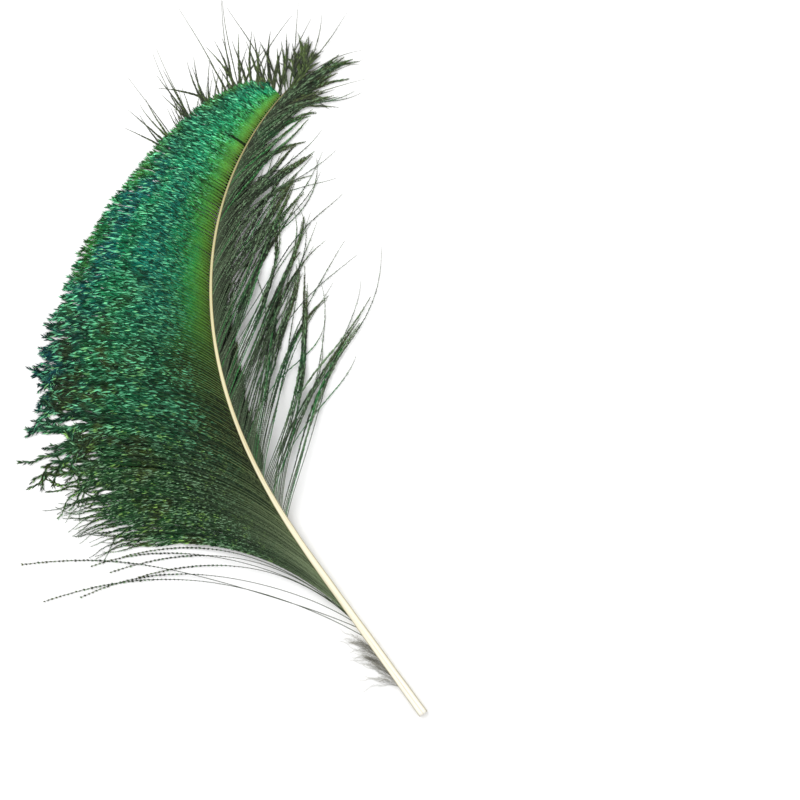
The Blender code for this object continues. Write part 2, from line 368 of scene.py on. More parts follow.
def ripple(draw, slow, fast, out):
    """A wave along a barb, with a length and a start of its own."""
    return np.sin(draw.uniform(slow, fast) * out + draw.uniform(0.0, 6.0))


def frayed(amounts, fray):
    """An amount where the vane is sound, with what the fray adds to it."""
    return amounts[0] + amounts[1] * fray


def grow_broad_barbs():
    """The broad vane's barbs: their points, place along the shaft, barbule length, ruffle and tone."""
    draw = np.random.default_rng(11)
    out = np.linspace(0.0, 1.0, BARB_POINTS)
    share = BROAD_SPAN[0]
    barbs = []
    while share < BROAD_SPAN[1]:
        number = len(barbs)
        fray = float(from_keys(FRAY, share))
        lock = np.random.default_rng(1000 + number // LOCK_BARBS)
        clump = np.random.default_rng(2000 + number // CLUMP_BARBS)
        in_lock = 2.0 * (number % LOCK_BARBS) / (LOCK_BARBS - 1.0) - 1.0
        growth = 1.0 + draw.normal(0.0, frayed(GROWTH_SPREAD, fray ** 2))
        growth = growth + LOCK_GROWTH * fray ** 2 * lock.uniform(-1.0, 1.0)
        length = float(from_keys(BROAD_LENGTH, share)) * growth
        reach = out * growth
        root_heading = float(from_keys(BROAD_ROOT_HEADING, share))
        tip_heading = float(from_keys(BROAD_TIP_HEADING, share))
        headings = root_heading + (tip_heading - root_heading) * reach ** from_keys(BROAD_BEND_POWER, share)
        headings = headings + 2.0 * drift(share, 1) * reach
        headings = headings + frayed(LOCK_FAN, fray) * in_lock * out ** 6
        headings = headings + fray * LOCK_BEND * lock.uniform(-1.0, 1.0) * out ** 6
        headings = headings + draw.normal(0.0, frayed(BARB_WANDER, fray)) * out
        curl_start = draw.uniform(0.70, 0.90)
        curl = draw.normal(0.0, frayed(CURL, fray))
        headings = headings + curl * ease(out, curl_start, 1.02)
        frizz = frayed(FRIZZ, fray) * ease(out, 0.62, 0.92)
        waves = draw.uniform(5.0, 11.0)
        headings = headings + frizz * np.sin(2.0 * math.pi * waves * out + draw.uniform(0.0, 6.0))
        points = lie_down(share, 1, headings, length, BROAD_CROWN * length / BROAD_CROWN_LENGTH)
        points[:, 2] += draw.normal(0.0, 0.00025) * out
        points[:, 2] += 0.0006 * fray * ease(out, 0.6, 0.9) * np.sin(9.0 * out + draw.uniform(0.0, 6.0))
        low_fluff = from_keys(LOW_FLUFF, out)
        low_ruffle = from_keys(LOW_RUFFLE, out)
        upness = ease(share, 0.26, 0.48)
        fluff = low_fluff + (from_keys(HIGH_FLUFF, out) - low_fluff) * upness
        pointed = 1.0 - 0.8 * (1.0 - ease(share, 0.26, 0.34)) * ease(out, 0.72, 1.0)
        barbs.append({
            "points": points,
            "along": share,
            "fluff": fluff * from_keys(NARROWING, share) * pointed,
            "ruffle": low_ruffle + (from_keys(HIGH_RUFFLE, out) - low_ruffle) * upness,
            "tone": 0.5 * draw.uniform() + 0.5 * clump.uniform(),
        })
        share = share + float(from_keys(BROAD_SPACING, share)) * draw.uniform(0.85, 1.15) / SHAFT_LENGTH
    return barbs


def guide_lines(name, barbs):
    """Barbs as one object of bare edges, with the values that the barbule tree and the finish read."""
    places = np.vstack([barb["points"] for barb in barbs])
    steps = len(barbs[0]["points"])
    edges = []
    for number in range(len(barbs)):
        first = number * steps
        edges += [(first + step, first + step + 1) for step in range(steps - 1)]
    mesh = bpy.data.meshes.new(name)
    mesh.from_pydata([tuple(place) for place in places], edges, [])
    values = {
        "along": np.repeat([barb["along"] for barb in barbs], steps),
        "out": np.tile(np.linspace(0.0, 1.0, steps), len(barbs)),
        "fluff": np.concatenate([barb["fluff"] for barb in barbs]),
        "ruffle": np.concatenate([barb["ruffle"] for barb in barbs]),
        "tone": np.repeat([barb["tone"] for barb in barbs], steps),
    }
    for label, numbers in values.items():
        layer = mesh.attributes.new(label, "FLOAT", "POINT")
        layer.data.foreach_set("value", numbers.astype(np.float32))
    guide = bpy.data.objects.new(name, mesh)
    bpy.context.collection.objects.link(guide)
    return guide


def barbule_shape():
    """One barbule: a closed spindle with a low ridge along its back, pointing along +X."""
    spots = [(0.0, 0.0, 0.0), (0.45, -0.5, 0.0), (0.45, 0.5, 0.0), (0.42, 0.0, 0.30), (1.0, 0.0, -0.08)]
    faces = [(0, 1, 3), (0, 3, 2), (0, 2, 1), (4, 3, 1), (4, 2, 3), (4, 1, 2)]
    mesh = bpy.data.meshes.new("barbule")
    mesh.from_pydata(spots, [], faces)
    # tipward runs from a barbule's root to its tip; the glossy finish darkens by it as painted shade between
    # the ribs.
    tipward = mesh.attributes.new("tipward", "FLOAT", "POINT")
    tipward.data.foreach_set("value", [0.0, 0.8, 0.8, 0.2, 1.0])
    shape = bpy.data.objects.new("barbule", mesh)
    bpy.context.collection.objects.link(shape)
    return shape


def barbule_tree():
    """Turns guide lines into ribs with barbules down both sides."""
    tree = bpy.data.node_groups.new("barbs_with_barbules", "GeometryNodeTree")
    tree.interface.new_socket("Geometry", in_out="OUTPUT", socket_type="NodeSocketGeometry")
    tree.interface.new_socket("Geometry", in_out="INPUT", socket_type="NodeSocketGeometry")
    inputs = [("Barbule", "Object"), ("Finish", "Material"), ("Rib radius at root", "Float"),
              ("Rib radius at tip", "Float"), ("Spacing", "Float"), ("Length", "Float"), ("Width", "Float"),
              ("Spread", "Float"), ("Slope", "Float"), ("Lift", "Float"), ("Unrest", "Float"),
              ("Seed", "Int")]
    for name, kind in inputs:
        tree.interface.new_socket(name, in_out="INPUT", socket_type="NodeSocket" + kind)
    given = {socket.name: socket for socket in tree.nodes.new("NodeGroupInput").outputs}

    def number(operation, first, second):
        """A sum, difference or product of two values."""
        return fill(add_node(tree, "ShaderNodeMath", operation=operation), s0=first, s1=second).outputs[0]

    def random(low, high, seed):
        """A value drawn for each barbule."""
        spread = add_node(tree, "FunctionNodeRandomValue", data_type="FLOAT")
        return fill(spread, s2=low, s3=high, s8=number("ADD", given["Seed"], float(seed))).outputs[1]

    def read(name):
        """One of the guide lines' own values."""
        return fill(add_node(tree, "GeometryNodeInputNamedAttribute", data_type="FLOAT"), s0=name).outputs[0]

    curves = fill(tree.nodes.new("GeometryNodeMeshToCurve"), s0=given["Geometry"]).outputs[0]
    taper = fill(tree.nodes.new("ShaderNodeMapRange"), s0=read("out"), s3=given["Rib radius at root"],
                 s4=given["Rib radius at tip"])
    profile = fill(tree.nodes.new("GeometryNodeCurvePrimitiveCircle"), s0=3, s4=1.0)
    ribs = fill(tree.nodes.new("GeometryNodeCurveToMesh"), s0=curves, s1=profile.outputs[0],
                s2=taper.outputs[0], s3=True)
    marked = fill(add_node(tree, "GeometryNodeStoreNamedAttribute", data_type="FLOAT", domain="POINT"),
                  s0=ribs.outputs[0], s2="rib", s3=1.0)
    spots = fill(add_node(tree, "GeometryNodeCurveToPoints", mode="LENGTH"), s0=curves, s2=given["Spacing"])
    facing = add_node(tree, "FunctionNodeAxesToRotation", primary_axis="X", secondary_axis="Z")
    fill(facing, s0=spots.outputs["Tangent"], s1=(0.0, 0.0, 1.0))
    barbule = fill(tree.nodes.new("GeometryNodeObjectInfo"), s0=given["Barbule"], s1=True)
    unrest = number("MULTIPLY", given["Unrest"], read("ruffle"))
    parts = [marked.outputs[0]]
    for side in (1.0, -1.0):
        seed = 10 if side > 0.0 else 40
        wobbles = [number("MULTIPLY", unrest, random(-1.0, 1.0, seed + place)) for place in range(3)]
        yaw = number("MULTIPLY", number("ADD", given["Spread"], wobbles[0]), side)
        roll = number("MULTIPLY", number("ADD", given["Slope"], wobbles[1]), side)
        pitch = number("SUBTRACT", number("MULTIPLY", wobbles[2], 0.5), given["Lift"])
        turn = fill(tree.nodes.new("ShaderNodeCombineXYZ"), s0=roll, s1=pitch, s2=yaw)
        turned = fill(tree.nodes.new("FunctionNodeEulerToRotation"), s0=turn.outputs[0])
        rotation = add_node(tree, "FunctionNodeRotateRotation", rotation_space="LOCAL")
        fill(rotation, s0=facing.outputs[0], s1=turned.outputs[0])
        long_one = number("MULTIPLY", number("MULTIPLY", given["Length"], read("fluff")),
                          random(0.80, 1.20, seed + 3))
        thinning = number("ADD", number("MULTIPLY", read("fluff"), 0.5), 0.5)
        wide_one = number("MULTIPLY", number("MULTIPLY", given["Width"], thinning),
                          random(0.75, 1.25, seed + 4))
        size = fill(tree.nodes.new("ShaderNodeCombineXYZ"), s0=long_one, s1=wide_one, s2=wide_one)
        placed = fill(tree.nodes.new("GeometryNodeInstanceOnPoints"), s0=spots.outputs[0],
                      s2=barbule.outputs["Geometry"], s5=rotation.outputs[0], s6=size.outputs[0])
        half_gap = number("MULTIPLY", given["Spacing"], 0.5)
        shift = fill(tree.nodes.new("ShaderNodeCombineXYZ"),
                     s0=number("MULTIPLY", half_gap, random(-1.0, 1.0, seed + 5)))
        moved = fill(tree.nodes.new("GeometryNodeTranslateInstances"), s0=placed.outputs[0],
                     s2=shift.outputs[0], s3=True)
        # Barbules on the second side get lower glint values, so the painted highlights fall more on one side
        # of each barb, as if lit from that side.
        brightest = 1.0 if side > 0.0 else 0.75
        glinting = add_node(tree, "GeometryNodeStoreNamedAttribute", data_type="FLOAT", domain="INSTANCE")
        fill(glinting, s0=moved.outputs[0], s2="glint", s3=random(0.0, brightest, seed + 6))
        parts.append(glinting.outputs[0])
    join = tree.nodes.new("GeometryNodeJoinGeometry")
    for part in parts:
        tree.links.new(part, join.inputs[0])
    real = fill(tree.nodes.new("GeometryNodeRealizeInstances"), s0=join.outputs[0])
    crisp = fill(tree.nodes.new("GeometryNodeSetShadeSmooth"), s0=real.outputs[0], s2=False)
    finished = fill(tree.nodes.new("GeometryNodeSetMaterial"), s0=crisp.outputs[0], s2=given["Finish"])
    tree.links.new(finished.outputs[0], tree.nodes.new("NodeGroupOutput").inputs[0])
    return tree


def map_from_above(mesh, places):
    """Lays the piece's map flat, as the feather is seen from above."""
    low = places[:, :2].min(axis=0)
    wide = places[:, :2].max(axis=0) - low
    flat = 0.01 + 0.98 * (places[:, :2] - low) / wide
    corners = np.empty(len(mesh.loops), np.int32)
    mesh.loops.foreach_get("vertex_index", corners)
    layer = mesh.uv_layers.new(name="OFBake")
    layer.uv.foreach_set("vector", flat[corners].astype(np.float32).ravel())


def dress(name, barbs, node, slot_name, **settings):
    """Grows ribs and barbules on the barbs as one plain mesh, which stands for the frame's node."""
    guide = guide_lines(name + "_guide", barbs)
    modifier = guide.modifiers.new("barbules", "NODES")
    modifier.node_group = barb_tree
    items = barb_tree.interface.items_tree
    sockets = {item.name: item.identifier for item in items if item.in_out == "INPUT"}
    modifier[sockets["Barbule"]] = barbule
    for label, value in settings.items():
        modifier[sockets[label.replace("_", " ")]] = value
    evaluated = guide.evaluated_get(bpy.context.evaluated_depsgraph_get())
    mesh = bpy.data.meshes.new_from_object(evaluated)
    guide.modifiers.remove(modifier)
    bpy.data.objects.remove(guide)
    places = np.empty(3 * len(mesh.vertices), np.float32)
    mesh.vertices.foreach_get("co", places)
    places = places.reshape(-1, 3)
    places[:, 2] = np.maximum(places[:, 2], LOWEST_POINT)
    mesh.vertices.foreach_set("co", places.ravel())
    map_from_above(mesh, places)
    mesh.name = name
    piece = bpy.data.objects.new(name, mesh)
    bpy.context.collection.objects.link(piece)
    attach(piece, "root")
    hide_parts(node)


def painted_glint_and_shade(tree, colour, glint_colour, shade_colour, contrast):
    """Paints highlights on some barbules and shade on others, as far as the contrast says: painted glints
    and painted shade.
    """
    glint = attribute(tree, "glint")
    lit = times(tree, span(tree, glint, 0.58, 0.96, 0.0, 0.90), contrast)
    shaded = times(tree, span(tree, glint, 0.05, 0.60, 0.85, 0.0), contrast)
    return mix(tree, shaded, mix(tree, lit, colour, glint_colour), linear(shade_colour))


def gloss_green():
    """The glossy barbules: lime, emerald, teal and blue-green by their place on the vane, with painted
    glints, and painted shade between the ribs and in a few partings.
    """
    material, tree, shader = new_finish("glossy_barbs")
    objects = add_node(tree, "ShaderNodeTexCoord").outputs["Object"]
    along = attribute(tree, "along")
    out = attribute(tree, "out")
    wide_cloud = span(tree, noise(tree, objects, 30.0, 2.0), 0.3, 0.7, -0.08, 0.08)
    small_cloud = span(tree, noise(tree, objects, 170.0, 3.0), 0.3, 0.7, -0.06, 0.06)
    clouds = times(tree, plus(tree, wide_cloud, small_cloud), span(tree, out, 0.0, 0.3))
    place = plus(tree, out, clouds)
    low = ramp(tree, place, [(0.0, "34381e"), (0.10, "283a20"), (0.35, "284626"), (0.60, "1e5024"),
                             (0.80, "2a542c"), (1.0, "506c34")])
    middle = ramp(tree, place, [(0.0, "2c2410"), (0.08, "1e2c10"), (0.20, "1c4820"), (0.32, "145a3a"),
                                (0.55, "10603a"), (0.72, "1a5a30"), (0.86, "124e40"), (1.0, "104850")])
    high = ramp(tree, place, [(0.0, "50641c"), (0.06, "5a9c34"), (0.15, "34ae54"), (0.24, "149866"),
                              (0.36, "0c7c6a"), (0.52, "0c765e"), (0.68, "148450"), (0.82, "0c6268"),
                              (0.92, "248048"), (1.0, "44923c")])
    top = ramp(tree, place, [(0.0, "66862e"), (0.08, "6cb84a"), (0.24, "48c466"), (0.42, "28ae78"),
                             (0.60, "2a9e70"), (0.80, "288062"), (1.0, "569650")])
    lower_half = mix(tree, span(tree, along, 0.30, 0.46), low, middle)
    upper_half = mix(tree, span(tree, along, 0.74, 0.88), high, top)
    colour = mix(tree, span(tree, along, 0.52, 0.68), lower_half, upper_half)
    blotches = span(tree, noise(tree, objects, 60.0, 3.0), 0.48, 0.60)
    outer_blotches = times(tree, blotches, span(tree, out, 0.35, 0.60))
    browned = times(tree, outer_blotches, span(tree, along, 0.50, 0.68, 0.80, 0.25))
    colour = mix(tree, browned, colour, linear("363c12"))
    # Painted glints and painted shade on single barbules, stronger where the barbs are ruffled. The glint
    # colour is yellow-green in patches low on the vane and cool mint higher up.
    contrast = span(tree, attribute(tree, "ruffle"), 0.0, 0.5, 0.12, 1.0)
    yellow_glint_patches = span(tree, noise(tree, objects, 260.0, 2.0), 0.50, 0.64)
    yellow_glint_share = times(tree, yellow_glint_patches, span(tree, along, 0.35, 0.65, 0.75, 0.25))
    cool = mix(tree, span(tree, along, 0.30, 0.48), linear("98c498"), linear("84f2b8"))
    glint_colour = mix(tree, yellow_glint_share, cool, linear("a8dc5c"))
    glinting = painted_glint_and_shade(tree, colour, glint_colour, "061c14", contrast)
    rib_colour = ramp(tree, along, [(0.2, "8a9a78"), (0.45, "728252"), (0.62, "649440"), (0.9, "70ac4c")])
    rib_share = times(tree, attribute(tree, "rib"), span(tree, out, 0.0, 0.55, 0.95, 0.25))
    ribbed = mix(tree, rib_share, glinting, rib_colour)
    # Barbule tips near the barb roots are darkened, so dark lines lie between the ribs: painted shade in the
    # gaps, weaker near the top of the vane.
    tip_shade = times(tree, attribute(tree, "tipward"), span(tree, out, 0.08, 0.62, 0.98, 0.0))
    gap_shade = times(tree, tip_shade, span(tree, along, 0.76, 0.90, 1.0, 0.45))
    gap_shaded = mix(tree, gap_shade, ribbed, linear("101c0c"))
    tone = attribute(tree, "tone")
    uneven = times(tree, span(tree, tone, 0.1, 0.9, 1.0, 0.0), span(tree, along, 0.30, 0.60, 0.62, 0.32))
    shaded = mix(tree, uneven, gap_shaded, linear("0c1a10"))
    # A few barbs near the shaft in the upper half are painted near-black: painted shade standing for
    # partings between barbs.
    parting_barbs = times(tree, span(tree, tone, 0.12, 0.17, 0.9, 0.0), span(tree, out, 0.20, 0.38, 1.0, 0.0))
    parting_shade = times(tree, parting_barbs, span(tree, along, 0.50, 0.60))
    tree.links.new(mix(tree, parting_shade, shaded, linear("0a1208")), shader.inputs["Base Color"])
    shader.inputs["Metallic"].default_value = 0.45
    shader.inputs["Roughness"].default_value = 0.42
    shader.inputs["Specular IOR Level"].default_value = 0.15
    return material


barbule = barbule_shape()
barb_tree = barbule_tree()
broad_finish = gloss_green()
broad_barbs = grow_broad_barbs()
for part, piece_name in enumerate(BROAD_PIECES):
    first = len(broad_barbs) * part // len(BROAD_PIECES)
    last = len(broad_barbs) * (part + 1) // len(BROAD_PIECES)
    dress(piece_name, broad_barbs[first:last], "broad_vane", "glossy_barbs", Finish=broad_finish,
          Rib_radius_at_root=0.00024, Rib_radius_at_tip=0.00009, Spacing=0.00072, Length=0.0039,
          Width=0.00068, Spread=math.radians(12.0), Slope=math.radians(16.0), Lift=math.radians(1.0),
          Unrest=math.radians(10.0), Seed=part)


# ---- Loose vane ----
# On the inner side of the curve the barbs are longer, softer and set wider. They cling together in
# pointed locks that bend back towards the tip; higher up, short dark ones lie close along the shaft.

LOOSE_SPAN = (0.33, 0.93)
LOOSE_SPACING = 0.00098
LOOSE_LENGTH = [(0.33, 0.112), (0.45, 0.092), (0.60, 0.085), (0.70, 0.064), (0.80, 0.050), (0.93, 0.048)]
LOOSE_SPREAD = [(0.33, 37.0), (0.40, 31.0), (0.45, 30.0), (0.60, 26.0), (0.75, 18.0), (0.93, 15.0)]
LOOSE_TURN = [(0.33, -46.0), (0.40, -31.0), (0.45, -26.0), (0.60, -19.0), (0.75, -28.0), (0.93, -20.0)]
LOOSE_CROWN = 0.0020
LOOSE_PIECES = ("loose_vane_lower", "loose_vane_upper")
LOOSE_STRANDS = (5, 10)
LOOSE_FLUFF = [(0.0, 0.35), (0.25, 0.50), (0.60, 0.88), (0.85, 0.72), (1.0, 0.25)]
LOOSE_RUFFLE = [(0.0, 0.0), (0.5, 0.7), (1.0, 1.0)]
CLING = 0.88
STRAY_SHARE = 0.22
BENT_BACK_SHARE = 0.4
BAND_SPAN = (0.40, 0.975)
BAND_SPACING = 0.0012
BAND_LENGTH = [(0.40, 0.010), (0.50, 0.026), (0.60, 0.034), (0.75, 0.042), (0.90, 0.040), (0.975, 0.030)]
BAND_ANGLE = [(0.40, 27.0), (0.50, 21.0), (0.60, 14.0), (0.975, 14.0)]
BAND_CROWN = 0.0012
BAND_FLUFF = [(0.0, 0.5), (0.3, 1.0), (0.8, 0.9), (1.0, 0.3)]
BAND_RUFFLE = [(0.0, 0.2), (1.0, 0.8)]


def loose_headings(share, out):
    """Heading of a loose barb at each step of its length, before its lock bends it."""
    return shaft_heading(share) - from_keys(LOOSE_SPREAD, share) + from_keys(LOOSE_TURN, share) * out


def grow_loose_barbs():
    """The loose barbs, lock by lock: each strand bends in towards the line that leads its lock."""
    draw = np.random.default_rng(23)
    out = np.linspace(0.0, 1.0, BARB_POINTS)
    step = LOOSE_SPACING / SHAFT_LENGTH
    share = LOOSE_SPAN[0]
    barbs = []
    while share < LOOSE_SPAN[1]:
        strands = int(draw.integers(*LOOSE_STRANDS))
        middle = min(share + 0.5 * strands * step, LOOSE_SPAN[1])
        bend = draw.normal(0.0, 7.0)
        bend_back = draw.uniform(25.0, 55.0) if draw.uniform() < BENT_BACK_SHARE else 0.0
        swing = draw.uniform(8.0, 20.0)
        phase = draw.uniform(0.0, 2.0 * math.pi)
        lead_length = float(from_keys(LOOSE_LENGTH, middle)) * draw.uniform(0.86, 1.08)
        lead_headings = loose_headings(middle, out) + bend * out + swing * out * np.sin(6.0 * out + phase)
        lead_headings = lead_headings - 0.25 * bend_back * (1.0 - out) + bend_back * out ** 2.5
        lead = lie_down(middle, -1, lead_headings, lead_length, LOOSE_CROWN)
        for strand in range(strands):
            stray = draw.uniform() < STRAY_SHARE
            length = lead_length * draw.uniform(0.72, 1.30 if stray else 1.06)
            wander = draw.normal(-18.0, 14.0) if stray else draw.normal(0.0, 3.0)
            rise = draw.uniform(20.0, 60.0) if stray else 0.0
            headings = lead_headings + wander * out + rise * out ** 3
            headings = headings + (5.0 * out) * np.sin(draw.uniform(5.0, 12.0) * out + phase)
            points = lie_down(share, -1, headings, length, LOOSE_CROWN)
            reach = out * length / lead_length
            led = np.column_stack([np.interp(reach, out, lead[:, axis]) for axis in range(3)])
            pull = (0.0 if stray else CLING) * ease(out, 0.18, 0.95)[:, None]
            offset = draw.normal(0.0, 0.0008)
            points[:, :2] += pull * (led[:, :2] + offset - points[:, :2])
            points[:, 2] += draw.uniform(-0.0003, 0.0008) * ease(out, 0.0, 0.3)
            barbs.append({
                "points": points,
                "along": share,
                "fluff": from_keys(LOOSE_FLUFF, out) * (0.6 if stray else 1.0) * draw.uniform(0.8, 1.1),
                "ruffle": from_keys(LOOSE_RUFFLE, out),
                "tone": draw.uniform(),
            })
            share = share + step * draw.uniform(0.8, 1.2)
    return [barb for barb in barbs if barb["along"] < LOOSE_SPAN[1]]


def grow_band_barbs():
    """The short dark barbs that lie nearly along the shaft in its upper half."""
    draw = np.random.default_rng(31)
    out = np.linspace(0.0, 1.0, BARB_POINTS)
    count = int((BAND_SPAN[1] - BAND_SPAN[0]) * SHAFT_LENGTH / BAND_SPACING)
    barbs = []
    for number in range(count):
        share = BAND_SPAN[0] + (BAND_SPAN[1] - BAND_SPAN[0]) * (number + draw.uniform(-0.3, 0.3)) / count
        length = float(from_keys(BAND_LENGTH, share)) * draw.uniform(0.8, 1.08)
        ahead = np.minimum(1.0, share + out * length / SHAFT_LENGTH)
        angle = float(from_keys(BAND_ANGLE, share)) + draw.uniform(-5.0, 5.0) - 5.0 * out
        headings = shaft_heading(ahead) - angle + 2.0 * ripple(draw, 5.0, 9.0, out)
        points = lie_down(share, -1, headings, length, BAND_CROWN)
        points[:, 2] += draw.uniform(0.0, 0.0009) * ease(out, 0.0, 0.4)
        barbs.append({
            "points": points,
            "along": share,
            "fluff": from_keys(BAND_FLUFF, out),
            "ruffle": from_keys(BAND_RUFFLE, out),
            "tone": 0.45 * draw.uniform(),
        })
    return barbs


def dark_green():
    """The loose barbs: dark olive to sage, strand by strand, with a few strands painted bright green as a
    highlight.
    """
    material, tree, shader = new_finish("dark_barbs")
    objects = add_node(tree, "ShaderNodeTexCoord").outputs["Object"]
    out = attribute(tree, "out")
    tone = attribute(tree, "tone")
    strand = ramp(tree, tone, [(0.0, "161c12"), (0.30, "26341f"), (0.60, "46593f"), (0.84, "74896a"),
                               (0.90, "2a7a3a"), (1.0, "349648")])
    patches = span(tree, noise(tree, objects, 55.0, 3.0), 0.52, 0.68)
    outer_patches = times(tree, patches, span(tree, out, 0.1, 0.4, 0.2, 0.75))
    greened = mix(tree, outer_patches, strand, linear("17542c"))
    tipped = mix(tree, span(tree, out, 0.72, 1.0, 0.0, 0.7), greened, linear("5c6430"))
    # Painted glints and painted shade on single barbules, stronger towards the ends.
    glinting = painted_glint_and_shade(tree, tipped, linear("7ea478"), "0a0f08", span(tree, out, 0.0, 0.4, 0.6, 0.9))
    rib_share = times(tree, attribute(tree, "rib"), span(tree, out, 0.0, 0.8, 0.35, 0.15))
    tree.links.new(mix(tree, rib_share, glinting, linear("66745a")), shader.inputs["Base Color"])
    shader.inputs["Metallic"].default_value = 0.20
    shader.inputs["Roughness"].default_value = 0.45
    shader.inputs["Specular IOR Level"].default_value = 0.25
    return material


dark_finish = dark_green()
loose_barbs = grow_loose_barbs()
for part, piece_name in enumerate(LOOSE_PIECES):
    first = len(loose_barbs) * part // len(LOOSE_PIECES)
    last = len(loose_barbs) * (part + 1) // len(LOOSE_PIECES)
    dress(piece_name, loose_barbs[first:last], "loose_vane", "dark_barbs", Finish=dark_finish,
          Rib_radius_at_root=0.00020, Rib_radius_at_tip=0.00007, Spacing=0.00085, Length=0.0026,
          Width=0.00052, Spread=math.radians(11.0), Slope=math.radians(14.0), Lift=math.radians(1.0),
          Unrest=math.radians(10.0), Seed=10 + part)
dress("loose_vane_band", grow_band_barbs(), "loose_vane", "dark_barbs", Finish=dark_finish,
      Rib_radius_at_root=0.00020, Rib_radius_at_tip=0.00007, Spacing=0.00090, Length=0.0027, Width=0.00060,
      Spread=math.radians(11.0), Slope=math.radians(14.0), Lift=math.radians(1.0),
      Unrest=math.radians(10.0), Seed=20)


# ---- Stray hairs ----
# A few barbs just below the broad vane have lost most of their barbules. They are long bare hairs that
# stand off the vane, with a beaded end where the barbules are left.

# Each row: place along the shaft, length, heading at the root, heading at the end.
STRAY_HAIRS = [(0.135, 0.152, 150.0, 196.0), (0.150, 0.158, 153.0, 184.0), (0.160, 0.130, 144.0, 203.0),
               (0.164, 0.104, 138.0, 195.0), (0.167, 0.118, 137.0, 198.0), (0.170, 0.112, 137.0, 192.0),
               (0.173, 0.124, 136.0, 200.0)]
HAIR_CROWN = 0.0030
HAIR_FLUFF = [(0.0, 0.05), (0.50, 0.10), (0.68, 0.50), (1.0, 0.40)]
HAIR_RUFFLE = [(0.0, 0.0), (0.6, 0.4), (1.0, 1.0)]


def grow_stray_hairs():
    """The long bare hairs that stand off below the vane."""
    draw = np.random.default_rng(71)
    out = np.linspace(0.0, 1.0, BARB_POINTS)
    hairs = []
    for share, length, first_heading, last_heading in STRAY_HAIRS:
        headings = first_heading + (last_heading - first_heading) * out ** 0.9
        headings = headings + 3.0 * ripple(draw, 4.0, 8.0, out)
        hairs.append({
            "points": lie_down(share, 1, headings, length, HAIR_CROWN),
            "along": share,
            "fluff": from_keys(HAIR_FLUFF, out),
            "ruffle": from_keys(HAIR_RUFFLE, out),
            "tone": 0.3 * draw.uniform(),
        })
    return hairs


dress("broad_vane_stray_hairs", grow_stray_hairs(), "broad_vane", "dark_barbs", Finish=dark_finish,
      Rib_radius_at_root=0.00022, Rib_radius_at_tip=0.00014, Spacing=0.0019, Length=0.0034, Width=0.00080,
      Spread=math.radians(12.0), Slope=math.radians(16.0), Lift=math.radians(1.0),
      Unrest=math.radians(10.0), Seed=50)


# ---- Tip tuft ----
# Round the end of the shaft the barbs are wiry and stand apart, each like a narrow blade that ends in
# a hair. Some split in two. They keep only a dull olive green.

TUFT_BARBS = 165
TUFT_START = (0.78, 0.930)
TUFT_CORNER = 0.45
UNDER_VANE = 0.36
TUFT_HEADING = [(0.0, 122.0), (0.25, 108.0), (0.45, 92.0), (0.55, 76.0), (0.80, 42.0), (1.0, 26.0)]
TUFT_LENGTH = [(0.0, 0.055), (0.20, 0.045), (0.42, 0.019), (0.55, 0.011), (0.80, 0.015), (1.0, 0.028)]
TUFT_FLUFF = [(0.0, 0.3), (0.25, 0.8), (0.55, 1.0), (0.8, 0.5), (1.0, 0.08)]
TUFT_RUFFLE = [(0.0, 0.1), (1.0, 0.5)]
TUFT_CROWN = 0.0008
TUFT_CROWDING = 1.65
TUFT_TURN = -8.0
WISP_SHARE = 0.12
WISP_EXTRA = 0.024
WISP_FLUFF = 0.4
FORK_SHARE = 0.25
FORK_GAP = 0.004


def tuft_root(place):
    """Share and side of a tuft barb: up the outer side, round the end of the shaft, down the inner side."""
    from_side = min(place, 1.0 - place) / TUFT_CORNER
    start = TUFT_START[0] if place < 0.5 else TUFT_START[1]
    share = min(1.0, start + (1.0 - start) * from_side)
    return share, 1 if place < 0.5 else -1


def grow_tuft_barbs():
    """The tuft's barbs: some end in a long wisp, and some of the others split in two."""
    draw = np.random.default_rng(47)
    out = np.linspace(0.0, 1.0, BARB_POINTS)
    barbs = []
    for number in range(TUFT_BARBS):
        place = ((number + draw.uniform(0.0, 1.0)) / TUFT_BARBS) ** TUFT_CROWDING
        share, side = tuft_root(place)
        wisp = draw.uniform() < WISP_SHARE
        length = float(from_keys(TUFT_LENGTH, place)) * draw.uniform(0.50, 1.15)
        length = length + (WISP_EXTRA if wisp else 0.0)
        heading = float(from_keys(TUFT_HEADING, place)) + draw.normal(0.0, 11.0)
        bend = TUFT_TURN + draw.normal(0.0, 24.0)
        headings = heading + bend * out + 5.0 * out * ripple(draw, 3.0, 9.0, out)
        points = lie_down(share, side, headings, length, TUFT_CROWN)
        if place < UNDER_VANE:
            points[:, 2] = SHEET_THICKNESS * draw.uniform(0.10, 0.25)
        else:
            points[:, 2] += draw.uniform(0.0, 0.0012) * ease(out, 0.0, 0.4)
        barb = {
            "points": points,
            "along": share,
            "fluff": from_keys(TUFT_FLUFF, out) * (WISP_FLUFF if wisp else 1.0),
            "ruffle": from_keys(TUFT_RUFFLE, out),
            "tone": draw.uniform(),
        }
        barbs.append(barb)
        if draw.uniform() < FORK_SHARE and not wisp:
            across = math.radians(heading + 90.0)
            gap = FORK_GAP * ease(out, 0.5, 1.1) * draw.choice((-1.0, 1.0))
            split = points.copy()
            split[:, :2] += gap[:, None] * np.array([math.cos(across), math.sin(across)])
            fork = dict(barb)
            fork["points"] = split
            barbs.append(fork)
    return barbs


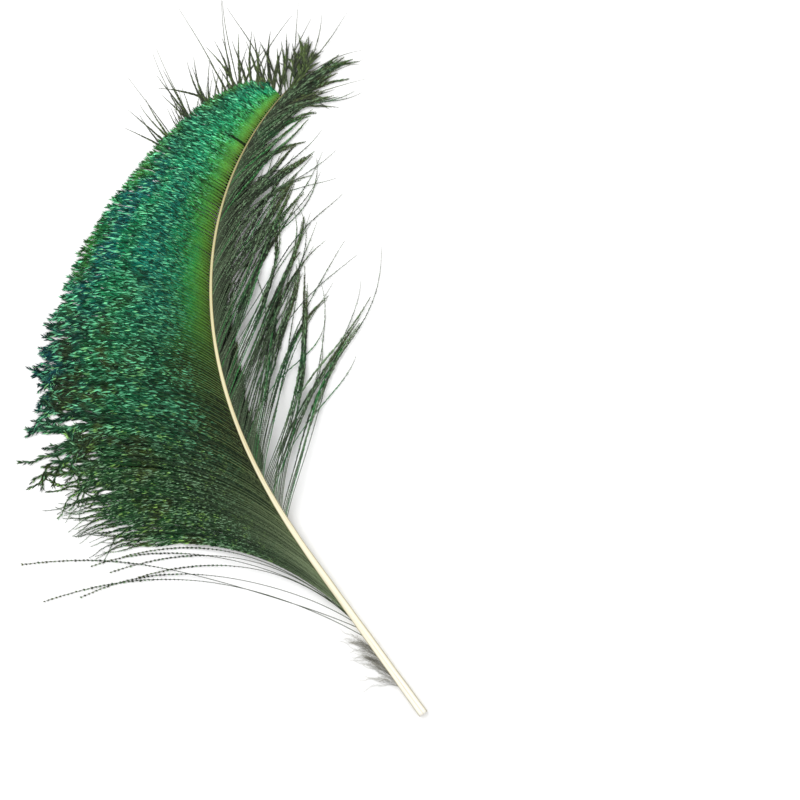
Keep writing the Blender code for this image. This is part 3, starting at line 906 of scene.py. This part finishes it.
def olive_green():
    """The tuft's barbs: dark olive, paler along the ribs, with a little of the vane's green at the roots."""
    material, tree, shader = new_finish("tip_barbs")
    out = attribute(tree, "out")
    strand = ramp(tree, attribute(tree, "tone"), [(0.0, "1c2214"), (0.4, "28341c"), (0.75, "384824"),
                                                  (1.0, "4a6028")])
    rooted = mix(tree, span(tree, out, 0.0, 0.4, 0.5, 0.0), strand, linear("1c4a2c"))
    contrast = span(tree, out, 0.0, 0.4, 0.4, 0.75)
    # Painted glints and painted shade on single barbules, stronger towards the ends.
    glinting = painted_glint_and_shade(tree, rooted, linear("748e4a"), "10150b", contrast)
    ribbed = mix(tree, times(tree, attribute(tree, "rib"), 0.5), glinting, linear("5c6438"))
    tree.links.new(ribbed, shader.inputs["Base Color"])
    shader.inputs["Metallic"].default_value = 0.15
    shader.inputs["Roughness"].default_value = 0.5
    return material


dress("tip_tuft_barbs", grow_tuft_barbs(), "tip_tuft", "tip_barbs", Finish=olive_green(),
      Rib_radius_at_root=0.00022, Rib_radius_at_tip=0.00006, Spacing=0.00080, Length=0.0027, Width=0.00046,
      Spread=math.radians(14.0), Slope=math.radians(12.0), Lift=math.radians(1.0),
      Unrest=math.radians(12.0), Seed=30)


# ---- Base down ----
# A few soft grey hairs are left low on the quill, where the barbs were stripped away by hand.

DOWN_SPAN = (0.05, 0.12)
DOWN_HAIRS = 42
DOWN_LENGTH = 0.014
DOWN_SPREAD = 24.0
DOWN_CURL = 24.0
DOWN_CROWN = 0.0006
DOWN_FLUFF = [(0.0, 0.3), (0.4, 1.0), (1.0, 0.3)]


def grow_down():
    """Short wavy hairs on the outer side of the quill."""
    draw = np.random.default_rng(59)
    out = np.linspace(0.0, 1.0, BARB_POINTS)
    hairs = []
    for number in range(DOWN_HAIRS):
        share = DOWN_SPAN[0] + (DOWN_SPAN[1] - DOWN_SPAN[0]) * number / DOWN_HAIRS
        length = DOWN_LENGTH * draw.uniform(0.5, 1.30)
        heading = float(shaft_heading(share)) + DOWN_SPREAD + draw.normal(0.0, 9.0)
        headings = heading + draw.uniform(0.0, 45.0) * out
        headings = headings + DOWN_CURL * out * ripple(draw, 8.0, 18.0, out)
        points = lie_down(share, 1, headings, length, DOWN_CROWN)
        points[:, 2] += draw.uniform(0.0, 0.0010) * ease(out, 0.0, 0.4)
        hairs.append({
            "points": points,
            "along": share,
            "fluff": from_keys(DOWN_FLUFF, out),
            "ruffle": np.ones(BARB_POINTS),
            "tone": draw.uniform(),
        })
    return hairs


def down_grey():
    """Soft grey-brown down, a little paler towards the ends."""
    material, tree, shader = new_finish("grey_down")
    strand = ramp(tree, attribute(tree, "tone"), [(0.0, "3e4036"), (0.6, "66645a"), (1.0, "8c8a7a")])
    ended = mix(tree, span(tree, attribute(tree, "out"), 0.3, 1.0, 0.0, 0.5), strand, linear("b8b6a6"))
    tree.links.new(ended, shader.inputs["Base Color"])
    shader.inputs["Roughness"].default_value = 0.8
    shader.inputs["Sheen Weight"].default_value = 0.3
    return material


dress("base_down_hairs", grow_down(), "base_down", "grey_down", Finish=down_grey(),
      Rib_radius_at_root=0.00007, Rib_radius_at_tip=0.00003, Spacing=0.00060, Length=0.0016, Width=0.00012,
      Spread=math.radians(38.0), Slope=0.0, Lift=0.0, Unrest=math.radians(24.0), Seed=40)


# ---- Floor, light and camera ----
# A pale table under a large soft light, seen from straight above.

FLOOR_REACH = 3.0
CAMERA_LENS = 100.0
CAMERA_SENSOR = 36.0
FRAME_WIDTH = 0.368
CAMERA_PLACE = (0.0761, -0.0216)

corners = [(-FLOOR_REACH, -FLOOR_REACH, 0.0), (FLOOR_REACH, -FLOOR_REACH, 0.0),
           (FLOOR_REACH, FLOOR_REACH, 0.0), (-FLOOR_REACH, FLOOR_REACH, 0.0)]
floor_mesh = bpy.data.meshes.new("table_top")
floor_mesh.from_pydata(corners, [], [(0, 1, 2, 3)])
floor = bpy.data.objects.new("table_top", floor_mesh)
bpy.context.collection.objects.link(floor)
table_paint, _, paint = new_finish("table_paint")
paint.inputs["Base Color"].default_value = (0.92, 0.92, 0.92, 1.0)
paint.inputs["Roughness"].default_value = 0.8
floor_mesh.materials.append(table_paint)

world = bpy.data.worlds.new("studio")
bpy.context.scene.world = world
world.use_nodes = True
world.node_tree.nodes["Background"].inputs["Color"].default_value = (1.0, 1.0, 1.0, 1.0)
world.node_tree.nodes["Background"].inputs["Strength"].default_value = 0.55


def add_light(name, place, size, power):
    """A round soft light that faces the middle of the feather's frame."""
    light = bpy.data.lights.new(name, "AREA")
    light.shape = "DISK"
    light.size = size
    light.energy = power
    lamp = bpy.data.objects.new(name, light)
    lamp.location = place
    lamp.rotation_mode = "QUATERNION"
    lamp.rotation_quaternion = Vector([-part for part in place]).to_track_quat("-Z", "Y")
    bpy.context.collection.objects.link(lamp)


add_light("key_light", (-0.5, 0.5, 1.3), 1.2, 16.0)
add_light("fill_light", (0.8, -0.3, 1.2), 1.4, 7.0)

camera_data = bpy.data.cameras.new("camera")
camera_data.lens = CAMERA_LENS
camera_data.sensor_width = CAMERA_SENSOR
camera_data.clip_end = 10.0
camera = bpy.data.objects.new("camera", camera_data)
camera.location = (*CAMERA_PLACE, FRAME_WIDTH * CAMERA_LENS / CAMERA_SENSOR)
bpy.context.collection.objects.link(camera)
bpy.context.scene.camera = camera
bpy.context.scene.view_settings.view_transform = "Standard"

bpy.data.objects.remove(barbule)
